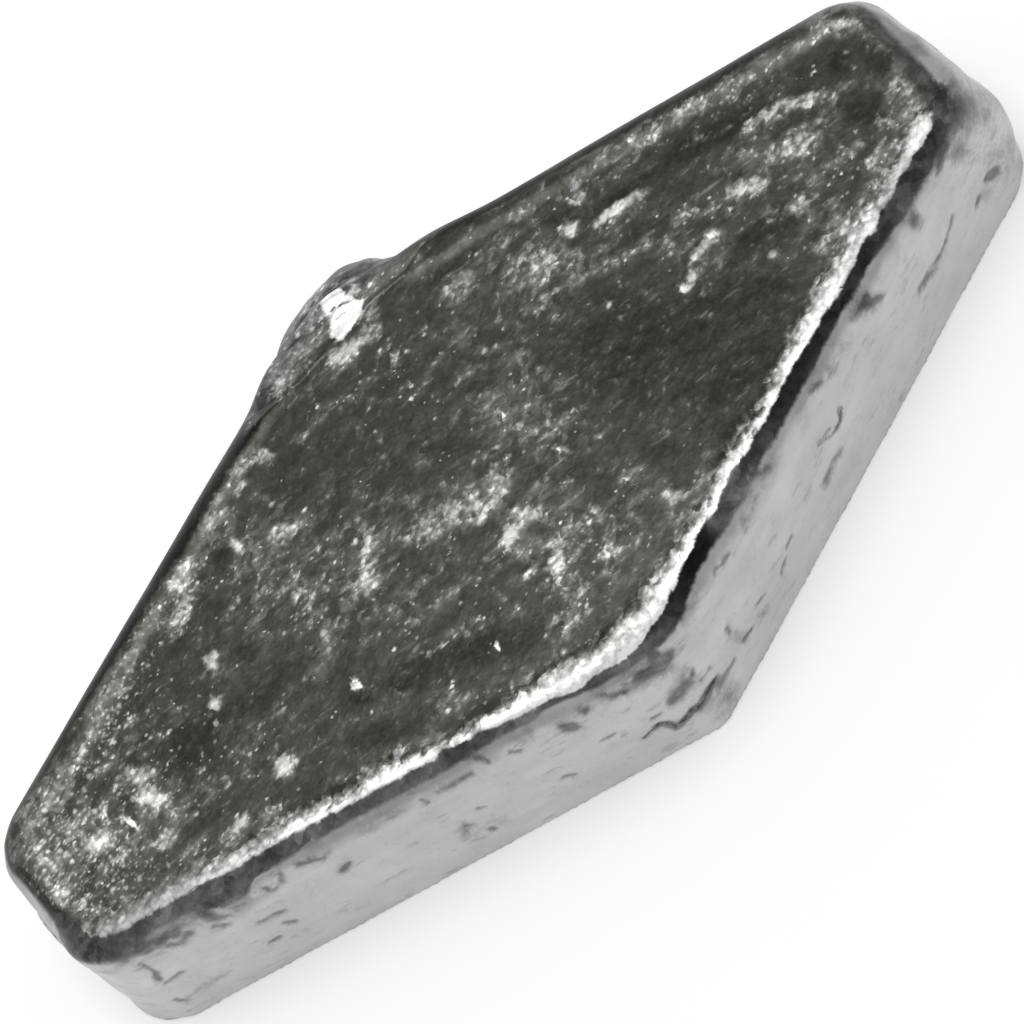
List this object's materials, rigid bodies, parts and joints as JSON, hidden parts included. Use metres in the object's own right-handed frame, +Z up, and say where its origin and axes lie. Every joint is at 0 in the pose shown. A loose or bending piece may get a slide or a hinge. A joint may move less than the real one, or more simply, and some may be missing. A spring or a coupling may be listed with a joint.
{
  "type": "fishing sinker",
  "caption": "Flat diamond in-line fishing sinker with blunt ends, a lined hole along its long diagonal and a flat base to rest on.",
  "frame": {"origin": "centre of the base, on the base's plane", "axes": "+X along the long diagonal, towards the right end; +Y towards the corner with the cropped gate; +Z up, from the base to the smaller face"},
  "size_m": [0.05, 0.0249, 0.0073],
  "materials": {
    "cast_lead": null,
    "tube_steel": "thin drawn stainless tube, satin",
    "collar_steel": "pressed stainless collar, satin with a dull grey film"
  },
  "bodies": {
    "root": {"cast_body": "cast_lead", "line_tube": "tube_steel", "left_collar": "collar_steel", "right_collar": "collar_steel"}
  },
  "joints": []
}
